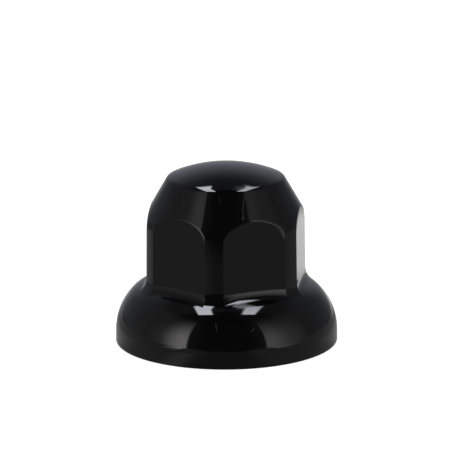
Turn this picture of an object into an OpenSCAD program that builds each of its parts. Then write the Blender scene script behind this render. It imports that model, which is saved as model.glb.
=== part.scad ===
// Push-on cover cap for a wheel nut: one moulded shell, millimetres.
// It stands on its rim at z = 0 with the hexagon's corners on +Y and -Y.

/* [Bell flange] */
// Outer radius of the rim
rim_r = 29; // [28:0.5:34]
// Small round on the rim's outer edge
rim_edge = 0.35; // [0.1:0.05:0.8]
// Height of the nearly upright wall above the rim
wall_h = 3.05; // [2:0.05:4.5]
// Inward lean of that wall, in degrees
wall_lean = 0.45; // [0:0.05:3]
// Radius of the bell's side above the wall
side_r = 15.1; // [14:0.1:17]
// Radius of the shoulder, which goes on from the side
shoulder_r = 8.85; // [8:0.05:10]
// Angle above the horizontal at which the side turns into the shoulder
side_end = 42.5; // [36:0.5:48]

/* [Hexagonal body] */
// Thickness of the body's walls at the middle of their faces
face_wall = 2.22; // [1.8:0.02:2.6]
// How far the round corners stand out past the faces
corner_rise = 1.78; // [1:0.02:2.4]
// Mould draft of the faces and corners, in degrees
face_draft = 0.65; // [0:0.05:1.5]
// Height at which the flare towards the bell begins
flare_top = 18.15; // [17.5:0.05:20]
// Radius of the brow, where the upright corners turn into the cone
brow_r = 7.9; // [4:0.1:10]
// Softening of the arched edges between faces and cone
arch_soft = 0.35; // [0.1:0.05:0.8]

/* [Crown] */
// Height of the dome's top above the rim
total_h = 47.05; // [45:0.05:52]
// Radius of the domed top
dome_r = 37; // [28:0.5:60]
// Radius at which dome and cone meet, before their blend
crown_r = 15.25; // [14:0.05:16.5]
// Half angle of the cone, in degrees
cone_angle = 30; // [26:0.5:36]
// Radius of the blend between dome and cone
crown_blend = 2; // [0.5:0.1:4]

/* [Shell] */
// Thickness of the bell
bell_wall = 2; // [1.4:0.1:2.6]
// Thickness of the cone and the dome
crown_wall = 2; // [1.4:0.1:2.6]

/* [Nut socket] */
// Distance across the nut that the cap is pushed onto
nut_af = 33; // [32:0.1:33.4]
// Clearance between the nut's faces and the socket's walls
nut_gap = 1; // [0.4:0.05:1.2]
// Squeeze of each grip rib on the nut
rib_squeeze = 0.1; // [0:0.05:0.3]
// Grip ribs on each face
ribs_per_face = 2; // [1:1:3]
// Distance between the ribs of one face
rib_pitch = 10; // [5:0.5:12]
// Width of a rib
rib_w = 1.6; // [0.8:0.1:2.5]
// Height at which the ribs reach their full depth
rib_start = 17.5; // [16:0.5:20]
// Length of the slope that leads the nut between the ribs
rib_lead = 3; // [1:0.5:5]
// Length of the ribs at full depth
rib_len = 14; // [8:0.5:16]
// Radius of the socket's upright corners
socket_corner_r = 1.4; // [0.5:0.1:3]
// Diameter of the moulding gate's mark under the dome
gate_d = 3; // [1.5:0.5:5]
// Height of that mark
gate_h = 0.5; // [0.2:0.1:1]

/* [Hidden] */
shell_color = "#131315";
$fn = 96;

// Number of points along half a face, one corner and each stretch of the outline
face_steps = 6;
corner_steps = 5;
side_steps = 6;
shoulder_steps = 4;
flare_steps = 6;
brow_steps = 6;
blend_steps = 3;
dome_steps = 5;
// How far a cutter reaches past the surface that it opens
over = 1;

// The socket's walls clear the nut, its ribs reach in to hold it, and the body's faces follow from it
socket_half = nut_af / 2 + nut_gap;
rib_tip = nut_af / 2 - rib_squeeze;
across_faces = 2 * (socket_half + face_wall);

// The bell's side starts where the leaning wall ends, and the shoulder where the side ends
function facing(angle) = [cos(angle), sin(angle)];
wall_top_r = rim_r - wall_h * tan(wall_lean);
side_c = [wall_top_r, wall_h] - side_r * facing(wall_lean);
shoulder_c = side_c + (side_r - shoulder_r) * facing(side_end);

// The dome is a sphere about this height, and the cone passes through the crown's edge
dome_z = total_h - dome_r;
crown_z = dome_z + sqrt(dome_r * dome_r - crown_r * crown_r);
cone_out = facing(cone_angle);
cone_up = facing(cone_angle + 90);

// The blend's centre lies one blend radius inside both the cone and the dome
blend_from = [crown_r, crown_z] - crown_blend * cone_out - [0, dome_z];
blend_half = blend_from * cone_up;
blend_gap = blend_from * blend_from - pow(dome_r - crown_blend, 2);
blend_c = blend_from + [0, dome_z] + (sqrt(blend_half * blend_half - blend_gap) - blend_half) * cone_up;
blend_end = atan2(blend_c[1] - dome_z, blend_c[0]);

function apothem(z) = across_faces / 2 - (z - flare_top) * tan(face_draft);
function upright_r(z) = apothem(z) + corner_rise;
function cone_r(z) = crown_r + (crown_z - z) * tan(cone_angle);

// The brow's centre lies one brow radius inside both the upright corners and the cone
brow_z = (cone_r(0) - upright_r(0)) / (tan(cone_angle) - tan(face_draft));
brow_in = brow_r / cos((cone_angle - face_draft) / 2);
brow_c = [cone_r(brow_z), brow_z] - brow_in * facing((cone_angle + face_draft) / 2);
brow_low = brow_c[1] + brow_r * sin(face_draft);
brow_high = brow_c[1] + brow_r * sin(cone_angle);

// Radius of the round body at a height, and the height at which it has a radius
function round_r(z) =
    z < brow_low ? upright_r(z) :
    z < brow_high ? brow_c[0] + sqrt(pow(brow_r, 2) - pow(z - brow_c[1], 2)) : cone_r(z);
function round_z(r) =
    r > round_r(brow_high) ? brow_c[1] + sqrt(pow(brow_r, 2) - pow(r - brow_c[0], 2)) :
    crown_z - (r - crown_r) / tan(cone_angle);

// Top of the arched edge, where the middle of a face meets the cone, found in three steps
function arch_top(z = brow_high, tries = 3) = tries == 0 ? z : arch_top(round_z(apothem(z)), tries - 1);
arch_high = arch_top();
brow_top = arch_high + 2 * arch_soft;

// Half width of a face at a height, between the round body's two cuts
function half_width(radius, z) = sqrt(max(0, radius * radius - pow(apothem(z), 2)));

function turned(p, angle) = [p[0] * cos(angle) - p[1] * sin(angle), p[0] * sin(angle) + p[1] * cos(angle)];

// One station of the outline: side 0 to 5, then a place s along its face, or round its corner from 1 to 2.
// Along a face s comes from a height on the arch, so that the stations crowd where the arch is steep
function arch_z(s) = abs(s) < 1 ? brow_low + (arch_high - brow_low) * cos(90 * abs(s)) : brow_low;
function face_share(z) = half_width(round_r(z), z) / half_width(upright_r(z), z);
function cut_angle(z) = acos(apothem(z) / upright_r(z));
function section_point(z, side, s) =
    turned(
        s <= 1 ? [apothem(z), sign(s) * face_share(arch_z(s)) * half_width(upright_r(z), z)] :
        upright_r(z) * facing(cut_angle(z) + (s - 1) * (60 - 2 * cut_angle(z))),
        side * 60
    );

stations = [
    for (side = [0 : 5]) each concat(
        [for (i = [-face_steps : face_steps]) [side, i / face_steps]],
        [for (i = [1 : corner_steps - 1]) [side, 1 + i / corner_steps]]
    )
];

function on_arc(centre, radius, angle) = centre + radius * facing(angle);

// Points along an arc from one angle to another, without its first
function arc_points(centre, radius, from, to, steps) =
    [for (i = [1 : steps]) on_arc(centre, radius, from + (to - from) * i / steps)];

// Outline of the cap in the plane through the axis and one station, from the rim up, as [radius, height]
function bell_outline(foot_angle) = concat(
    [[rim_r - rim_edge, 0], [rim_r - rim_edge * tan(wall_lean), rim_edge], [wall_top_r, wall_h]],
    arc_points(side_c, side_r, wall_lean, side_end, side_steps),
    arc_points(shoulder_c, shoulder_r, side_end, foot_angle, shoulder_steps)
);

// The flare is tangent to the shoulder and to the face, so its radius grows towards the corners
function lower_outline(section_r) =
    let (away = [section_r, flare_top] - shoulder_c,
         radius = (away * away - shoulder_r * shoulder_r) / (2 * (shoulder_r - away * facing(face_draft))),
         centre = [section_r, flare_top] + radius * facing(face_draft),
         foot = centre - shoulder_c,
         foot_angle = atan2(foot[1], foot[0]))
    concat(
        bell_outline(foot_angle),
        arc_points(centre, radius, 180 + foot_angle, 180 + face_draft, flare_steps)
    );

function arch_outline(side, s) =
    let (z = arch_z(s),
         sharp = [norm(section_point(z, side, s)), z],
         below = [norm(section_point(z - arch_soft, side, s)), z - arch_soft],
         above = [round_r(z + arch_soft), z + arch_soft])
    [below, (below + 2 * sharp + above) / 4, above];

function brow_outline(s) =
    let (from = arch_z(s) + arch_soft)
    [for (i = [1 : brow_steps])
        let (z = from + (brow_top - from) * i / brow_steps)
        [round_r(z), z]];

crown_outline = concat(
    [on_arc(blend_c, crown_blend, cone_angle)],
    arc_points(blend_c, crown_blend, cone_angle, blend_end, blend_steps),
    [for (i = [1 : dome_steps - 1])
        on_arc([0, dome_z], dome_r, blend_end + (90 - blend_end) * i / dome_steps)]
);

function spun(outline, direction) = [for (p = outline) [p[0] * direction[0], p[0] * direction[1], p[1]]];

function column(side, s) =
    let (low = section_point(flare_top, side, s),
         high = section_point(arch_z(s), side, s))
    concat(
        spun(lower_outline(norm(low)), low / norm(low)),
        spun(concat(arch_outline(side, s), brow_outline(s), crown_outline), high / norm(high))
    );

// Outer form of the cap, a loft through one outline for each station
module outer_form() {
    columns = [for (st = stations) column(st[0], st[1])];
    count = len(columns);
    rows = len(columns[0]);
    top = count * rows;
    points = concat([for (c = columns) each c], [[0, 0, total_h]]);
    sides = [
        for (i = [0 : count - 1])
        for (j = [0 : rows - 2])
        let (a = i * rows + j, b = ((i + 1) % count) * rows + j)
        each [[a, a + 1, b], [b, a + 1, b + 1]]
    ];
    crown = [for (i = [0 : count - 1]) [i * rows + rows - 1, top, ((i + 1) % count) * rows + rows - 1]];
    base = [for (i = [0 : count - 1]) i * rows];
    polyhedron(points = points, faces = concat(sides, crown, [base]));
}

// Space inside the bell, one wall inside its outer form
module bell_space() {
    inner_side = side_r - bell_wall;
    start = on_arc(side_c, inner_side, wall_lean);
    mouth_r = start[0] + (start[1] + over) * tan(wall_lean);
    ceiling = shoulder_c[1] + shoulder_r - bell_wall;
    rotate_extrude() polygon(concat(
        [[0, -over], [mouth_r, -over], start],
        arc_points(side_c, inner_side, wall_lean, side_end, 2 * side_steps),
        arc_points(shoulder_c, shoulder_r - bell_wall, side_end, 90, 2 * shoulder_steps),
        [[0, ceiling]]
    ));
}

// Hexagon with round corners, made of true lines and arcs
module socket_outline() {
    flat_half = (socket_half - socket_corner_r) * tan(30);
    for (side = [0 : 2]) rotate(side * 60) square([2 * socket_half, 2 * flat_half], center = true);
    for (corner = [0 : 5]) rotate(30 + corner * 60)
        translate([(socket_half - socket_corner_r) / cos(30), 0]) circle(r = socket_corner_r);
}

// Inside of the cone and dome, one wall inside their outer form
module crown_space() {
    skin = crown_wall / cos(cone_angle);
    rotate_extrude() intersection() {
        translate([0, dome_z]) circle(r = dome_r - crown_wall);
        polygon([[0, 0], [cone_r(0) - skin, 0], [cone_r(total_h) - skin, total_h], [0, total_h]]);
    }
}

// One grip rib, sloped at its foot to lead the nut in, and let into the wall behind it
module rib() {
    back = socket_half + nut_gap / 2;
    rib_top = rib_start + rib_len;
    translate([0, rib_w / 2, 0]) rotate([90, 0, 0]) linear_extrude(height = rib_w) polygon([
        [back, rib_start - rib_lead], [socket_half, rib_start - rib_lead], [rib_tip, rib_start],
        [rib_tip, rib_top], [socket_half, rib_top + nut_gap], [back, rib_top + nut_gap]
    ]);
}

module ribs() {
    for (side = [0 : 5]) for (i = [0 : ribs_per_face - 1])
        rotate(side * 60) translate([0, (i - (ribs_per_face - 1) / 2) * rib_pitch, 0]) rib();
}

// Space that takes the nut, with the ribs and the gate's mark standing in it
module socket_space() {
    difference() {
        intersection() {
            linear_extrude(height = total_h) socket_outline();
            crown_space();
        }
        ribs();
        translate([0, 0, total_h - crown_wall - gate_h]) cylinder(h = crown_wall, d = gate_d);
    }
}

module cover_cap() {
    color(shell_color) difference() {
        outer_form();
        bell_space();
        socket_space();
    }
}

cover_cap();
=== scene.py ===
"""Looks of the wheel nut cover cap: a fine mesh of its moulded shell, gloss black plastic and a studio.

Lengths are in millimetres and angles in degrees. Shaders have their places and scales in metres, apart from
the overhead lights'.
"""
import math

import bpy
import numpy as np
from mathutils import Matrix, Vector


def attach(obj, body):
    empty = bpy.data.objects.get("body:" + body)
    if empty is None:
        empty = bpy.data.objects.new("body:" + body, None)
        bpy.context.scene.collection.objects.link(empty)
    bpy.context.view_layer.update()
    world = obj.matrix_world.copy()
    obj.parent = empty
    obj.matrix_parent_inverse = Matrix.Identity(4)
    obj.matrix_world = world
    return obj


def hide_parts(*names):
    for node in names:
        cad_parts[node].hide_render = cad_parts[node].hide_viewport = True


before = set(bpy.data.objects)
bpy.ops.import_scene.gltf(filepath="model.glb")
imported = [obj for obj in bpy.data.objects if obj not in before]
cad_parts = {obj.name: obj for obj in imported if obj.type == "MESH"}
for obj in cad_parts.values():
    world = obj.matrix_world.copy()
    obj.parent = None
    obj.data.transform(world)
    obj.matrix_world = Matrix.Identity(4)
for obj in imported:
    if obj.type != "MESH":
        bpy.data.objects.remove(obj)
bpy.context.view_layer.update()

# One millimetre in metres
MM = 0.001

# Bell flange, as in the part's source
RIM_R = 29.0
RIM_EDGE = 0.35
WALL_H = 3.05
WALL_LEAN = 0.45
SIDE_R = 15.1
SHOULDER_R = 8.85
SIDE_END = 42.5

# Hexagonal body
FACE_WALL = 2.22
CORNER_RISE = 1.78
FACE_DRAFT = 0.65
FLARE_TOP = 18.15
BROW_R = 7.9

# Crown
TOTAL_H = 47.05
DOME_R = 37.0
CROWN_R = 15.25
CONE_ANGLE = 30.0
CROWN_BLEND = 2.0

# Shell, socket, grip ribs and gate mark
BELL_WALL = 2.0
CROWN_WALL = 2.0
INNER_BLEND = 0.6
NUT_AF = 33.0
NUT_GAP = 1.0
RIB_SQUEEZE = 0.1
RIB_PITCH = 10.0
RIB_W = 1.6
RIB_START = 17.5
RIB_LEAD = 3.0
RIB_LEN = 14.0
SOCKET_CORNER_R = 1.4
GATE_D = 3.0
GATE_H = 0.5

# Softness of the arched edges and how many times wider it may get, and of the inner edges, ribs and gate mark
EDGE_SOFT = 0.25
SOFT_LIMIT = 2.5
INNER_SOFT = 0.2
RIB_TAPER = 0.25
GATE_SOFT = 0.1

# Width of the strips beside the upright edges, and the angle from which an edge is shaded crisp
EDGE_STRIP = 0.12
SHARP_ANGLE = 20

# Steps of the mesh round a face's half and a corner, up the outside and up the inside
FACE_STEPS = 17
CORNER_STEPS = 8
RIM_STEPS = 5
WALL_STEPS = 3
SIDE_STEPS = 20
SHOULDER_STEPS = 12
FLARE_STEPS = 20
UPRIGHT_STEPS = 6
ARCH_STEPS = 4
BROW_STEPS = 14
CONE_STEPS = 5
CROWN_STEPS = (14, 32)
INNER_SIDE_STEPS = 12
INNER_SHOULDER_STEPS = 10
SHAFT_STEPS = 3
INNER_CONE_STEPS = 7
INNER_CROWN_STEPS = (4, 14)

# Arched edge: its samples, and half the share of a face over which its slope is taken
ARCH_SAMPLES = 1200
SLOPE_STEP = 0.004

# Share of a face's half width by which a plain step keeps clear of the edges and ribs
CLEAR_SHARE = 0.012

# Plastic: waves and haze per metre, roughness from clear to hazy, and grey
WAVE_SCALE = 90.0
HAZE_SCALE = 55.0
GLOSS = (0.04, 0.065)
BLACK = 0.0019

# Dust: cells per metre, a speck's soft edge as shares of a cell, the draw from which a cell has a speck, its
# roughness and its grey
DUST_CELLS = 190.0
DUST_RADIUS = (0.013, 0.019)
DUST_CHOICE = (0.5, 0.55)
DUST_ROUGHNESS = 0.5
DUST_GREY = 0.09

# Lint: each fibre's points, as an angle to the right of the camera's side and a height, and its thickness
LINT = (
    (((17.4, 42.5), (15.6, 40.8), (13.9, 39.2), (13.5, 37.6), (12.3, 36.7)), 0.07),
    (((13.5, 37.6), (14.4, 36.7)), 0.035),
    (((-6.3, 42.6), (-5.1, 40.7)), 0.025),
    (((-6.1, 11.6), (-5.1, 9.8)), 0.07),
    (((13.1, 9.5), (15.3, 10.2)), 0.08),
)

# A fibre's sides, its steps from point to point, its flecks per metre and their greys
LINT_SIDES = 6
LINT_STEPS = 4
LINT_FLECKS = 2500.0
LINT_GREYS = (0.05, 0.14)

# The photograph's frame and its camera, with the distance and the target in metres
FRAME_PX = 450
CAMERA_AZIMUTH = 8.49
CAMERA_ELEVATION = 14.88
CAMERA_ROLL = -0.334
CAMERA_DISTANCE = 1.0
TARGET = Vector((0, 0, 0.022))
TARGET_PX = (226.21, 257.49)
PX_PER_MM = 3.832
SENSOR_MM = 36.0

# Light on matt surfaces, and the floor's width in metres, its grey and the glow that lifts it to white
PLAIN_LIGHT = 0.8
FLOOR_SIZE = 6.0
FLOOR_GREY = 0.8
FLOOR_GLOW = 0.75

# Tints of the studio in the gloss: the world's in front and behind, and the overhead softboxes'. Then the
# angles round from the camera between which the world takes its rear tint, and turns pale
FRONT_TINT = (0.98, 0.945, 0.965)
REAR_TINT = (0.91, 0.945, 1.07)
OVERHEAD_TINT = (0.914, 0.93, 1.015)
TINT_TURN = (80, 140)
REAR_TURN = (138, 172)

# Softboxes beside the camera, each bright at its inner edge and dimmer further out: strength, side, inner
# edge, and where the light fades outwards and upwards
SIDE_LIGHT_SOFT = 3.0
LEFT_EDGE = 42.0
RIGHT_EDGE = 41.5
SIDE_LIGHTS = (
    (2.25, -1.0, LEFT_EDGE, (46, 76), (12, 55)),
    (0.35, -1.0, LEFT_EDGE, (60, 95), (12, 54)),
    (0.8, 1.0, RIGHT_EDGE, (46, 74), (8, 59)),
    (0.42, 1.0, RIGHT_EDGE, (66, 98), (8, 58)),
)

# Their feet on the floor, painted as glow that only reflections show: strength, side, inner edge, and where
# the light fades outwards
FLOOR_LIGHTS = (
    (2.3, -1.0, 43.0, (44, 66)),
    (0.9, 1.0, 46.0, (50, 80)),
)

# Overhead softboxes: their height, the width of the plane that holds them, how far behind the axis they have
# their near and their rear strength, and the softness of their near ends
OVERHEAD_Z = 125.0
OVERHEAD_SIZE = 170.0
OVERHEAD_SPAN = (-60, 50)
NEAR_END_SOFT = 4.0

# For each, those two strengths, the inner edge with its slant and its bend at the rear, the outer edge with
# its slant, the near end, the rear end with its slant and its softness, and the softness of the sides
OVERHEAD_LIGHTS = (
    dict(
        side=-1.0, strength=(10.8, 7.3), inner=20.4, lean=0.07, bend=0.0015, outer=42.8, slant=0.19,
        near=-54.0, rear=37.6, skew=0.3, fade=8.0, soft=3.0,
    ),
    dict(
        side=1.0, strength=(9.0, 4.8), inner=24.9, lean=0.04, bend=0.001, outer=47.0, slant=0.11,
        near=-53.0, rear=46.0, skew=0.0, fade=12.0, soft=6.0,
    ),
)


def tan(angle):
    return math.tan(math.radians(angle))


def sin(angle):
    return math.sin(math.radians(angle))


def cos(angle):
    return math.cos(math.radians(angle))


def facing(angle):
    """Direction of an angle in degrees, as a pair."""
    return np.array([cos(angle), sin(angle)])


def turned(point, angle):
    """A point in the plane, turned about the axis."""
    return np.array([
        point[0] * cos(angle) - point[1] * sin(angle),
        point[0] * sin(angle) + point[1] * cos(angle),
    ])


def on_arc(centre, radius, start, end, steps):
    """Points along an arc, both ends included."""
    angles = np.radians(np.linspace(start, end, steps + 1))
    return np.asarray(centre) + radius * np.column_stack([np.cos(angles), np.sin(angles)])


# The rules of the part's source: the sizes that follow from the ones above
SOCKET_HALF = NUT_AF / 2 + NUT_GAP
RIB_TIP = NUT_AF / 2 - RIB_SQUEEZE
RIB_TOP = RIB_START + RIB_LEN
HALF_ACROSS = SOCKET_HALF + FACE_WALL
WALL_TOP_R = RIM_R - WALL_H * tan(WALL_LEAN)
SIDE_C = np.array([WALL_TOP_R, WALL_H]) - SIDE_R * facing(WALL_LEAN)
SHOULDER_C = SIDE_C + (SIDE_R - SHOULDER_R) * facing(SIDE_END)
DOME_Z = TOTAL_H - DOME_R
CROWN_Z = DOME_Z + math.sqrt(DOME_R**2 - CROWN_R**2)


def apothem(z):
    """Distance from the axis to a face."""
    return HALF_ACROSS - (z - FLARE_TOP) * tan(FACE_DRAFT)


def upright_r(z):
    """Radius of the body's round corners."""
    return apothem(z) + CORNER_RISE


def cone_r(z, skin=0.0):
    """Radius of the cone, one skin inside the outer form."""
    return CROWN_R + (CROWN_Z - z) * tan(CONE_ANGLE) - skin / cos(CONE_ANGLE)


def cone_z(r, skin=0.0):
    """Height at which the cone has a radius."""
    return CROWN_Z - (r - cone_r(CROWN_Z, skin)) / tan(CONE_ANGLE)


# The brow turns the upright corners into the cone
BROW_Z = (cone_r(0) - upright_r(0)) / (tan(CONE_ANGLE) - tan(FACE_DRAFT))
BROW_IN = BROW_R / cos((CONE_ANGLE - FACE_DRAFT) / 2)
BROW_C = np.array([cone_r(BROW_Z), BROW_Z]) - BROW_IN * facing((CONE_ANGLE + FACE_DRAFT) / 2)
BROW_LOW = BROW_C[1] + BROW_R * sin(FACE_DRAFT)
BROW_HIGH = BROW_C[1] + BROW_R * sin(CONE_ANGLE)


def round_r(z):
    """Radius of the round body at a height."""
    if z < BROW_LOW:
        return upright_r(z)
    if z < BROW_HIGH:
        return BROW_C[0] + math.sqrt(BROW_R**2 - (z - BROW_C[1]) ** 2)
    return cone_r(z)


def half_width(radius, z):
    """Half width of a face between the round body's two cuts."""
    return math.sqrt(max(0, radius**2 - apothem(z) ** 2))


def arch_top():
    """Height at which the middle of a face meets the cone."""
    z = BROW_HIGH
    for _ in range(4):
        z = cone_z(apothem(z))
    return z


ARCH_HIGH = arch_top()

# Height above every arched edge and its softness
BROW_TOP = ARCH_HIGH + 4 * EDGE_SOFT

# Share of a face's half width that is left at each height of its arch
ARCH_HEIGHTS = np.linspace(BROW_LOW, ARCH_HIGH, ARCH_SAMPLES)
ARCH_SHARES = np.array([half_width(round_r(z), z) / half_width(upright_r(z), z) for z in ARCH_HEIGHTS])


def arch_z(share):
    """Height of the arched edge at a share of the face's half width."""
    return float(np.interp(-min(abs(share), 1), -ARCH_SHARES, ARCH_HEIGHTS))


def arch_soft(share):
    """Height of the soft edge at a share, so that its width across the edge stays the same."""
    if abs(share) >= 1:
        return EDGE_SOFT
    ahead, behind = min(abs(share) + SLOPE_STEP, 1), max(abs(share) - SLOPE_STEP, 0)
    slope = (arch_z(behind) - arch_z(ahead)) / ((ahead - behind) * half_width(upright_r(BROW_LOW), BROW_LOW))
    return EDGE_SOFT * min(math.hypot(1, slope), SOFT_LIMIT)


# A station is a side from 0 to 5 and a place on it: a share of its half width from -1 to 1, then 1 to 2 round
# the corner after it. Below is the half width of the socket's flat sides
INNER_SIDE_HALF = (SOCKET_HALF - SOCKET_CORNER_R) * tan(30)


def face_places():
    """Places across a face: even ones, the strips beside its edges and the flanks of the ribs."""
    half = RIB_W / 2
    offsets = (-half, -half + RIB_TAPER, half - RIB_TAPER, half)
    middles = (-RIB_PITCH / 2, RIB_PITCH / 2)
    ribs = [(middle + offset) / INNER_SIDE_HALF for middle in middles for offset in offsets]
    beside = 1 - EDGE_STRIP / half_width(upright_r(FLARE_TOP), FLARE_TOP)
    fixed = np.array(ribs + [-1, -beside, beside, 1])
    plain = np.sin(np.linspace(-math.pi / 2, math.pi / 2, 2 * FACE_STEPS + 1))
    kept = [place for place in plain if np.min(np.abs(fixed - place)) > CLEAR_SHARE]
    return sorted(kept + list(fixed))


def corner_places():
    """Places round the corner after a face, from 1 to 2."""
    beside = EDGE_STRIP / (upright_r(FLARE_TOP) * math.radians(60 - 2 * cut_angle(FLARE_TOP)))
    return [1 + share for share in np.linspace(beside, 1 - beside, CORNER_STEPS + 1)]


def cut_angle(z):
    """Angle from the middle of a face to its upright edge."""
    return math.degrees(math.acos(apothem(z) / upright_r(z)))


def section_point(z, side, place):
    """Point of the upright body's section at a station."""
    if place <= 1:
        point = [apothem(z), place * half_width(upright_r(z), z)]
    else:
        point = upright_r(z) * facing(cut_angle(z) + (place - 1) * (60 - 2 * cut_angle(z)))
    return turned(point, side * 60)


def socket_point(side, place):
    """Point of the socket's outline, a hexagon with round corners, at a station."""
    if place <= 1:
        point = [SOCKET_HALF, place * INNER_SIDE_HALF]
    else:
        centre = np.array([SOCKET_HALF - SOCKET_CORNER_R, INNER_SIDE_HALF])
        point = centre + SOCKET_CORNER_R * facing((place - 1) * 60)
    return turned(point, side * 60)


def crown_outline(skin, blend, steps):
    """Blend and dome, one skin inside the outer form, from the cone up to nearly the axis."""
    dome_r = DOME_R - skin
    start = np.array([cone_r(CROWN_Z, skin), CROWN_Z - DOME_Z]) - blend * facing(CONE_ANGLE)
    half = start @ facing(CONE_ANGLE + 90)
    gap = start @ start - (dome_r - blend) ** 2
    centre = start + (math.sqrt(half * half - gap) - half) * facing(CONE_ANGLE + 90)
    end = math.degrees(math.atan2(centre[1], centre[0]))
    lift = np.array([0, DOME_Z])
    return np.vstack([
        on_arc(centre + lift, blend, CONE_ANGLE, end, steps[0]),
        on_arc(lift, dome_r, end, 90, steps[1])[1:-1],
    ])


OUTER_CROWN = crown_outline(0, CROWN_BLEND, CROWN_STEPS)
INNER_CROWN = crown_outline(CROWN_WALL, INNER_BLEND, INNER_CROWN_STEPS)


def spun(outline, direction):
    """An outline of radius and height, turned to stand in one direction."""
    outline = np.asarray(outline)
    return np.column_stack([outline[:, :1] * direction, outline[:, 1]])


def bell_outline(section_r):
    """Rim, wall, side, shoulder and flare below one station."""
    away = np.array([section_r, FLARE_TOP]) - SHOULDER_C
    radius = (away @ away - SHOULDER_R**2) / (2 * (SHOULDER_R - away @ facing(FACE_DRAFT)))
    centre = np.array([section_r, FLARE_TOP]) + radius * facing(FACE_DRAFT)
    foot = centre - SHOULDER_C
    foot_angle = math.degrees(math.atan2(foot[1], foot[0]))
    edge = on_arc([RIM_R - RIM_EDGE * (1 + tan(WALL_LEAN)), RIM_EDGE], RIM_EDGE, -90, WALL_LEAN, RIM_STEPS)
    return np.vstack([
        edge,
        np.linspace(edge[-1], [WALL_TOP_R, WALL_H], WALL_STEPS + 1)[1:-1],
        on_arc(SIDE_C, SIDE_R, WALL_LEAN, SIDE_END, SIDE_STEPS),
        on_arc(SHOULDER_C, SHOULDER_R, SIDE_END, foot_angle, SHOULDER_STEPS)[1:],
        on_arc(centre, radius, 180 + foot_angle, 180 + FACE_DRAFT, FLARE_STEPS)[1:],
    ])


def outer_column(side, place):
    """Outer points of one station, from the rim up."""
    low = section_point(FLARE_TOP, side, place)
    low_r = np.linalg.norm(low)
    arch = arch_z(place)
    soft = arch_soft(place)
    levels = np.linspace(FLARE_TOP, arch - soft, UPRIGHT_STEPS + 1)[1:]
    upright = [[*section_point(z, side, place), z] for z in levels]
    high = section_point(arch, side, place)
    below = np.array([np.linalg.norm(upright[-1][:2]), arch - soft])
    sharp = np.array([round_r(arch), arch])
    above = np.array([round_r(arch + soft), arch + soft])
    t = np.linspace(0, 1, ARCH_STEPS + 1)[1:, None]
    edge = (1 - t) ** 2 * below + 2 * t * (1 - t) * sharp + t**2 * above
    brow = [[round_r(z), z] for z in np.linspace(arch + soft, BROW_TOP, BROW_STEPS + 1)[1:]]
    cone = np.linspace(brow[-1], OUTER_CROWN[0], CONE_STEPS + 1)[1:-1]
    top = np.vstack([edge, brow, cone, OUTER_CROWN])
    return np.vstack([
        spun(bell_outline(low_r), low / low_r),
        upright,
        spun(top, high / np.linalg.norm(high)),
    ])


def rib_depth(place, z):
    """How far the socket's wall stands in at a place: a rib's slope, full depth and top."""
    if place > 1:
        return 0
    aside = abs(abs(place * INNER_SIDE_HALF) - RIB_PITCH / 2)
    across = min(max((RIB_W / 2 - aside) / RIB_TAPER, 0), 1)
    along = min(max((z - RIB_START + RIB_LEAD) / RIB_LEAD, 0), max((RIB_TOP + NUT_GAP - z) / NUT_GAP, 0), 1)
    return (SOCKET_HALF - RIB_TIP) * across * along


def inner_column(side, place):
    """Inner points of one station, from the rim up to the gate's mark under the dome."""
    socket = socket_point(side, place)
    socket_r = np.linalg.norm(socket)
    direction = socket / socket_r
    wall = np.array([bell_wall_r(z) for z in (0, INNER_SOFT)])
    end = ceiling_angle(socket_r + INNER_SOFT)
    bell = np.vstack([
        [[wall[0] + INNER_SOFT, 0], [wall[1], INNER_SOFT]],
        on_arc(SIDE_C, SIDE_R - BELL_WALL, WALL_LEAN, SIDE_END, INNER_SIDE_STEPS),
        on_arc(SHOULDER_C, SHOULDER_R - BELL_WALL, SIDE_END, end, INNER_SHOULDER_STEPS)[1:],
    ])

    arch = cone_z(socket_r, CROWN_WALL)
    ceiling = bell[-1, 1]
    levels = [ceiling + INNER_SOFT, RIB_START - RIB_LEAD, RIB_START, (RIB_START + RIB_TOP) / 2, RIB_TOP]
    levels += list(np.linspace(RIB_TOP + NUT_GAP, arch, SHAFT_STEPS + 1))
    levels = [min(z, arch) for z in levels]
    levels[1:3] = [max(z, levels[0]) for z in levels[1:3]]
    out = facing(side * 60)
    shaft = [[*(socket - rib_depth(place, z) * out), z] for z in levels]

    gate_r = GATE_D / 2
    gate_z = TOTAL_H - CROWN_WALL - GATE_H
    cone = np.linspace([socket_r, arch], INNER_CROWN[0], INNER_CONE_STEPS + 1)[1:-1]
    dome = INNER_CROWN[INNER_CROWN[:, 0] > gate_r + 2 * INNER_SOFT]
    roof = DOME_Z + math.sqrt((DOME_R - CROWN_WALL) ** 2 - gate_r**2)
    gate = [
        [gate_r + GATE_SOFT, roof],
        [gate_r, roof - GATE_SOFT],
        [gate_r, gate_z + GATE_SOFT / 2],
        [gate_r - GATE_SOFT, gate_z],
    ]
    return np.vstack([spun(bell, direction), shaft, spun(np.vstack([cone, dome, gate]), direction)])


def bell_wall_r(z):
    """Inner radius of the upright wall above the rim."""
    start = SIDE_C + (SIDE_R - BELL_WALL) * facing(WALL_LEAN)
    return start[0] + (start[1] - z) * tan(WALL_LEAN)


def ceiling_angle(r):
    """Angle on the inner shoulder's arc at a radius, at most straight up."""
    return math.degrees(math.acos(max(0, (r - SHOULDER_C[0]) / (SHOULDER_R - BELL_WALL))))


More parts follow.
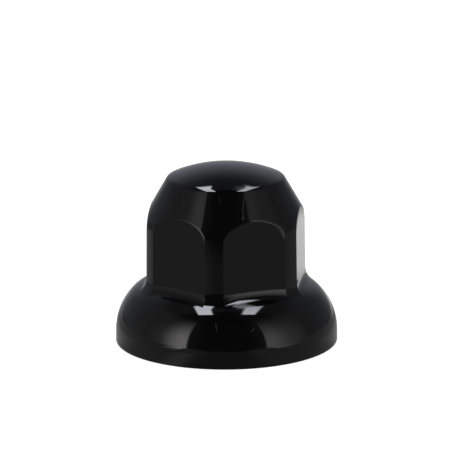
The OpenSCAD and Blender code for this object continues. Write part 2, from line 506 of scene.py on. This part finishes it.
def shell_mesh():
    """The whole shell as one closed mesh: outside, rim and inside, station by station."""
    places = face_places() + corner_places()
    stations = [(side, place) for side in range(6) for place in places]
    outer = np.array([outer_column(*station) for station in stations])
    inner = np.array([inner_column(*station) for station in stations])
    columns = np.concatenate([inner[:, ::-1], outer], axis=1)
    count, rows = columns.shape[:2]
    points = np.vstack([columns.reshape(-1, 3), [[0, 0, TOTAL_H], [0, 0, TOTAL_H - CROWN_WALL - GATE_H]]])
    top, gate = count * rows, count * rows + 1
    faces = []
    for i in range(count):
        a, b = i * rows, ((i + 1) % count) * rows
        faces += [(a + j, b + j, b + j + 1, a + j + 1) for j in range(rows - 1)]
        faces.append((a + rows - 1, b + rows - 1, top))
        faces.append((b, a, gate))
    mesh = bpy.data.meshes.new("cap_shell")
    mesh.from_pydata((points * MM).tolist(), [], faces)
    mesh.validate()
    mesh.polygons.foreach_set("use_smooth", [True] * len(mesh.polygons))
    mesh.set_sharp_from_angle(angle=math.radians(SHARP_ANGLE))
    return mesh


class Graph:
    """Short ways to add nodes to a tree and link them."""

    def __init__(self, tree):
        self.tree = tree
        self.nodes = tree.nodes
        self.nodes.clear()

    def add(self, kind, **inputs):
        """A node with its inputs set by name, where an underscore stands for a space."""
        node = self.nodes.new(kind)
        for name, value in inputs.items():
            self.put(node, name.replace("_", " "), value)
        return node

    def put(self, node, name, value):
        """Set one input of a node, by name or number, or link it to another node's output."""
        target = node.inputs[name]
        if isinstance(value, bpy.types.NodeSocket):
            self.tree.links.new(value, target)
        else:
            target.default_value = value

    def show(self, shader, output="ShaderNodeOutputMaterial"):
        """Make a shader the surface."""
        self.add(output, Surface=shader.outputs[0])

    def math(self, operation, *values):
        node = self.nodes.new("ShaderNodeMath")
        node.operation = operation
        for place, value in enumerate(values):
            self.put(node, place, value)
        return node.outputs[0]

    def times(self, value, *factors):
        for factor in factors:
            value = self.math("MULTIPLY", value, factor)
        return value

    def plus(self, value, other):
        return self.math("ADD", value, other)

    def minus(self, value, other):
        return self.math("SUBTRACT", value, other)

    def ramp(self, value, start, end, low=0.0, high=1.0):
        """Smooth step from low at start to high at end."""
        node = self.add(
            "ShaderNodeMapRange", Value=value, From_Min=start, From_Max=end, To_Min=low, To_Max=high,
        )
        node.interpolation_type = "SMOOTHSTEP"
        return node.outputs["Result"]

    def fall(self, value, start, end):
        """Smooth step from 1 at start to 0 at end."""
        return self.ramp(value, start, end, 1.0, 0.0)

    def near_edge(self, value, place, soft):
        """0 before a place and 1 past it, with a soft edge."""
        return self.ramp(value, place - soft / 2, place + soft / 2)

    def far_edge(self, value, place, soft):
        """1 before a place and 0 past it, with a soft edge."""
        return self.fall(value, place - soft / 2, place + soft / 2)

    def band(self, value, low, high, soft_low, soft_high):
        """1 between two places and 0 outside them, with soft edges."""
        return self.times(self.near_edge(value, low, soft_low), self.far_edge(value, high, soft_high))

    def mix(self, factor, without, wanted):
        """The wanted shader where the factor is 1, else the one without it."""
        node = self.add("ShaderNodeMixShader", Fac=factor)
        self.put(node, 1, without.outputs[0])
        self.put(node, 2, wanted.outputs[0])
        return node

    def both(self, first, second):
        """The sum of two shaders."""
        node = self.add("ShaderNodeAddShader")
        self.put(node, 0, first.outputs[0])
        self.put(node, 1, second.outputs[0])
        return node


def new_material(name):
    """A material and the graph of its nodes."""
    material = bpy.data.materials.new(name)
    material.use_nodes = True
    return material, Graph(material.node_tree)


def gloss_black():
    """Gloss black moulded plastic: faintly wavy, with a breath of haze and a few specks of dust."""
    material, g = new_material("gloss_black_plastic")
    place = g.add("ShaderNodeTexCoord").outputs["Object"]
    wave = g.add("ShaderNodeTexNoise", Vector=place, Scale=WAVE_SCALE, Detail=1.0, Roughness=0.4)
    ripple = g.add("ShaderNodeBump", Strength=0.03, Distance=0.0004, Height=wave.outputs[0])
    haze = g.add("ShaderNodeTexNoise", Vector=place, Scale=HAZE_SCALE, Detail=3.0)
    cells = g.add("ShaderNodeTexVoronoi", Vector=place, Scale=DUST_CELLS)
    chosen = g.add("ShaderNodeSeparateXYZ", Vector=cells.outputs["Color"]).outputs[0]
    dust = g.times(g.fall(cells.outputs["Distance"], *DUST_RADIUS), g.ramp(chosen, *DUST_CHOICE))
    roughness = g.plus(g.ramp(haze.outputs[0], 0.35, 0.7, *GLOSS), g.times(dust, DUST_ROUGHNESS))
    shader = g.add("ShaderNodeBsdfPrincipled", IOR=1.5, Roughness=roughness, Normal=ripple.outputs[0])
    g.put(shader, "Base Color", g.ramp(dust, 0, 1, BLACK, DUST_GREY))
    g.show(shader)
    return material


def lint_grey():
    """Pale matt fibre."""
    material, g = new_material("lint_grey")
    place = g.add("ShaderNodeTexCoord").outputs["Object"]
    fleck = g.add("ShaderNodeTexNoise", Vector=place, Scale=LINT_FLECKS, Detail=2.0)
    shader = g.add("ShaderNodeBsdfPrincipled", Roughness=0.75)
    g.put(shader, "Base Color", g.ramp(fleck.outputs[0], 0.3, 0.7, *LINT_GREYS))
    g.show(shader)
    return material


def skin_point(angle, z, lift):
    """Point on the cone or the bell, at an angle to the right of the camera's side, lifted off a little."""
    if z > BROW_LOW:
        r = round_r(z)
    else:
        lower = bell_outline(upright_r(FLARE_TOP))[RIM_STEPS + 1:]
        r = np.interp(z, lower[:, 1], lower[:, 0])
    return np.array([*((r + lift) * facing(CAMERA_AZIMUTH - 90 + angle)), z])


def fibre(points, thickness):
    """Vertices and faces of a fine tube through points on the skin."""
    given = range(len(points))
    steps = np.linspace(0, given[-1], LINT_STEPS * given[-1] + 1)
    angles, heights = (np.interp(steps, given, values) for values in np.array(points).T)
    path = np.array([skin_point(angle, z, thickness / 3) for angle, z in zip(angles, heights)])
    along = np.gradient(path, axis=0)
    out = path * [1, 1, 0]
    side = np.cross(along, out)
    side /= np.linalg.norm(side, axis=1, keepdims=True)
    out /= np.linalg.norm(out, axis=1, keepdims=True)
    n = LINT_SIDES
    turns = [facing(360 / n * k) * thickness / 2 for k in range(n)]
    rings = np.array([[p + t[0] * o + t[1] * w for t in turns] for p, o, w in zip(path, out, side)])
    faces = [
        (n * i + k, n * i + (k + 1) % n, n * i + n + (k + 1) % n, n * i + n + k)
        for i in range(len(path) - 1) for k in range(n)
    ]
    last = n * (len(path) - 1)
    faces += [tuple(range(n - 1, -1, -1)), tuple(range(last, last + n))]
    return rings.reshape(-1, 3), faces


def lint_mesh():
    """All the fibres as one mesh."""
    vertices, faces = [], []
    for points, thickness in LINT:
        tube, sides = fibre(points, thickness)
        faces += [tuple(len(vertices) + k for k in face) for face in sides]
        vertices += (tube * MM).tolist()
    mesh = bpy.data.meshes.new("lint_fibres")
    mesh.from_pydata(vertices, [], faces)
    mesh.validate()
    return mesh


def add_piece(name, mesh, material):
    """Object of a mesh, with its material."""
    piece = bpy.data.objects.new(name, mesh)
    bpy.context.scene.collection.objects.link(piece)
    mesh.materials.append(material)
    return piece


def build_cap():
    """The shell, in place of the plain solid."""
    piece = add_piece("cap_shell", shell_mesh(), gloss_black())
    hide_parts("cover_cap")
    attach(piece, "root")


def build_lint():
    """The few fibres that lie on the gloss."""
    piece = add_piece("lint_fibres", lint_mesh(), lint_grey())
    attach(piece, "root")


def photo_axes(g, vector):
    """A place or direction, as its parts to the camera's right, towards the camera and upwards."""
    parts = g.add("ShaderNodeSeparateXYZ", Vector=vector).outputs
    cos_a, sin_a = facing(CAMERA_AZIMUTH)
    right = g.plus(g.times(parts[0], cos_a), g.times(parts[1], sin_a))
    front = g.minus(g.times(parts[0], sin_a), g.times(parts[1], cos_a))
    return right, front, parts[2]


def azimuth_of(g, right, front):
    """Angle to the right of the camera's side."""
    return g.math("DEGREES", g.math("ARCTAN2", right, front))


def world_light(g, azimuth, elevation):
    """Strength of the world in reflections, in one direction."""
    around = g.math("ABSOLUTE", azimuth)

    # Dark in front, dim at the sides, paler behind and low down
    sides = g.plus(g.ramp(azimuth, -85, -60, 0.12, 0.0), g.ramp(azimuth, 60, 85, 0.0, 0.08))
    walls = g.plus(g.ramp(around, 22, 40, 0.03, 0.08), sides)
    walls = g.times(walls, g.ramp(elevation, 40, 56, 1.0, 0.5), g.fall(around, *REAR_TURN))
    behind = g.times(g.ramp(around, *REAR_TURN), g.ramp(elevation, 19, 52, 0.37, 0.08))
    total = g.plus(walls, behind)

    for strength, side, edge, outwards, upwards in SIDE_LIGHTS:
        away = g.times(azimuth, side)
        across = g.times(g.near_edge(away, edge, SIDE_LIGHT_SOFT), g.fall(away, *outwards))
        upward = g.times(g.ramp(elevation, -12, 0), g.fall(elevation, *upwards))
        total = g.plus(total, g.times(across, upward, strength))
    return total


def studio_world():
    """White behind the object for the camera, and the studio's lights for reflections."""
    world = bpy.data.worlds.new("studio")
    bpy.context.scene.world = world
    world.use_nodes = True
    g = Graph(world.node_tree)
    direction = g.add("ShaderNodeTexCoord").outputs["Generated"]
    right, front, up = photo_axes(g, direction)
    azimuth = azimuth_of(g, right, front)
    elevation = g.math("DEGREES", g.math("ARCSINE", up))
    around = g.math("ABSOLUTE", azimuth)
    red, green, blue = (g.ramp(around, *TINT_TURN, *ends) for ends in zip(FRONT_TINT, REAR_TINT))
    tint = g.add("ShaderNodeCombineColor", Red=red, Green=green, Blue=blue).outputs[0]

    plain = g.add("ShaderNodeBackground", Strength=PLAIN_LIGHT)
    white = g.add("ShaderNodeBackground", Color=(1, 1, 1, 1), Strength=1.0)
    reflected = g.add("ShaderNodeBackground", Color=tint, Strength=world_light(g, azimuth, elevation))
    rays = g.add("ShaderNodeLightPath").outputs
    gloss = g.mix(rays["Is Glossy Ray"], plain, reflected)
    g.show(g.mix(rays["Is Camera Ray"], gloss, white), "ShaderNodeOutputWorld")


def floor_light(g, right, front):
    """Strength of the floor's painted glow in reflections, standing in for studio light on it, at a place in
    metres.
    """
    azimuth = azimuth_of(g, right, front)
    around = g.math("ABSOLUTE", azimuth)
    behind = g.times(front, -1.0)
    distance = g.math("SQRT", g.plus(g.math("POWER", right, 2.0), g.math("POWER", front, 2.0)))

    # Painted light and shade: dark far in front, dim at the sides, paler behind and beside the rim, darker
    # again far behind
    ahead = g.times(g.fall(around, 28, 34), g.ramp(distance, 0.12, 0.16, 0.0, 0.1))
    painted_glow = g.minus(g.ramp(around, 12, 30, 0.12, 0.23), ahead)
    painted_glow = g.plus(painted_glow, g.ramp(around, 125, 170, 0.0, 0.35))
    painted_glow = g.plus(painted_glow, g.times(g.ramp(around, 66, 92), g.ramp(distance, 0.037, 0.055, 0.11, 0.0)))
    painted_glow = g.minus(painted_glow, g.times(g.ramp(around, 110, 135), g.ramp(distance, 0.13, 0.22, 0.0, 0.16)))

    # Painted pools of light: paler near the foot of the left softbox, then both softboxes' feet further out
    painted_spill = g.times(g.band(azimuth, -38, -25, 14, 8), g.ramp(distance, 0.045, 0.06, 0.18, 0.0))
    painted_glow = g.plus(painted_glow, painted_spill)
    for strength, side, edge, outwards in FLOOR_LIGHTS:
        away = g.times(azimuth, side)
        across = g.times(g.near_edge(away, edge, SIDE_LIGHT_SOFT), g.fall(away, *outwards))
        painted_glow = g.plus(painted_glow, g.times(across, g.ramp(distance, 0.05, 0.17), strength))

    # A painted bright place behind to the right
    painted_patch = g.times(g.band(right, 0.012, 0.068, 0.03, 0.02), g.band(behind, 0.058, 0.135, 0.03, 0.03))
    return g.plus(painted_glow, g.times(painted_patch, 0.51))


def studio_floor():
    """Pale floor: white to the camera apart from the object's shadow; in reflections a grey painted glow that
    stands in for studio light on it.
    """
    bpy.ops.mesh.primitive_plane_add(size=FLOOR_SIZE, location=(0, 0, 0))
    floor = bpy.context.object
    floor.name = "floor"
    material, g = new_material("floor_white")
    right, front, _ = photo_axes(g, g.add("ShaderNodeTexCoord").outputs["Object"])
    lit = g.add("ShaderNodeBsdfDiffuse", Color=(FLOOR_GREY, FLOOR_GREY, FLOOR_GREY, 1))
    glow = g.add("ShaderNodeEmission", Strength=FLOOR_GLOW)
    # Painted glow: the floor's emission in reflections stands in for studio light and shade on it
    painted_floor_glow = g.add("ShaderNodeEmission", Strength=floor_light(g, right, front))
    rays = g.add("ShaderNodeLightPath").outputs
    gloss = g.mix(rays["Is Glossy Ray"], lit, painted_floor_glow)
    g.show(g.mix(rays["Is Camera Ray"], gloss, g.both(lit, glow)))
    floor.data.materials.append(material)


def softbox(g, right, back, side, strength, inner, lean, bend, outer, slant, near, rear, skew, fade, soft):
    """Strength of one overhead softbox, at a place to the right and behind."""
    aside = g.times(right, side)
    bent = g.times(g.math("POWER", g.math("MAXIMUM", back, 0.0), 2.0), bend)
    inward = g.plus(aside, g.plus(g.times(back, lean), bent))
    outward = g.plus(aside, g.times(back, slant))
    rearward = g.minus(back, g.times(aside, skew))
    across = g.times(g.near_edge(inward, inner, soft), g.far_edge(outward, outer, soft))
    along = g.times(g.near_edge(back, near, NEAR_END_SOFT), g.far_edge(rearward, rear, fade))
    return g.times(across, along, g.ramp(back, *OVERHEAD_SPAN, *strength))


def overhead_lights():
    """Two long softboxes above the object, which only its gloss shows."""
    bpy.ops.mesh.primitive_plane_add(size=OVERHEAD_SIZE * MM, location=(0, 0, OVERHEAD_Z * MM))
    lights = bpy.context.object
    lights.name = "overhead_lights"
    material, g = new_material("overhead_glow")
    right, front, _ = photo_axes(g, g.add("ShaderNodeTexCoord").outputs["Object"])
    right, back = g.math("DIVIDE", right, MM), g.math("DIVIDE", front, -MM)

    # Faint glow inwards of the right softbox, then the softboxes
    spread = g.times(g.ramp(right, 6, 28, 0.0, 1.6), g.far_edge(right, 28, 8))
    total = g.times(spread, g.band(back, -8, 40, 16, 14))
    for box in OVERHEAD_LIGHTS:
        total = g.plus(total, softbox(g, right, back, **box))

    glow = g.add("ShaderNodeEmission", Color=(*OVERHEAD_TINT, 1), Strength=total)
    g.show(g.both(g.add("ShaderNodeBsdfTransparent"), glow))
    lights.data.materials.append(material)
    lights.visible_camera = lights.visible_diffuse = False
    lights.visible_transmission = lights.visible_shadow = False


def photo_camera():
    """Camera at the photograph's angle, aimed so that the target falls on its pixel."""
    azimuth = math.radians(CAMERA_AZIMUTH)
    elevation = math.radians(CAMERA_ELEVATION)
    away = Vector((
        math.sin(azimuth) * math.cos(elevation),
        -math.cos(azimuth) * math.cos(elevation),
        math.sin(elevation),
    ))
    data = bpy.data.cameras.new("photo_camera")
    data.sensor_width = SENSOR_MM
    focal_px = PX_PER_MM * CAMERA_DISTANCE / MM
    data.lens = focal_px * SENSOR_MM / FRAME_PX
    data.clip_start = 0.05
    camera = bpy.data.objects.new("photo_camera", data)
    bpy.context.scene.collection.objects.link(camera)
    right = Vector((math.cos(azimuth), math.sin(azimuth), 0))
    up = away.cross(right)
    roll = Matrix.Rotation(math.radians(CAMERA_ROLL), 3, away)
    right, up = roll @ right, roll @ up
    offset_x = (TARGET_PX[0] - FRAME_PX / 2) / focal_px
    offset_y = (FRAME_PX / 2 - TARGET_PX[1]) / focal_px
    back = (away + offset_x * right + offset_y * up).normalized()
    right = up.cross(back).normalized()
    up = back.cross(right)
    turn = Matrix((right, up, back)).transposed()
    camera.matrix_world = Matrix.Translation(TARGET + CAMERA_DISTANCE * away) @ turn.to_4x4()
    bpy.context.scene.camera = camera


bpy.context.scene.view_settings.view_transform = "Standard"
photo_camera()
studio_world()
studio_floor()
overhead_lights()
build_cap()
build_lint()
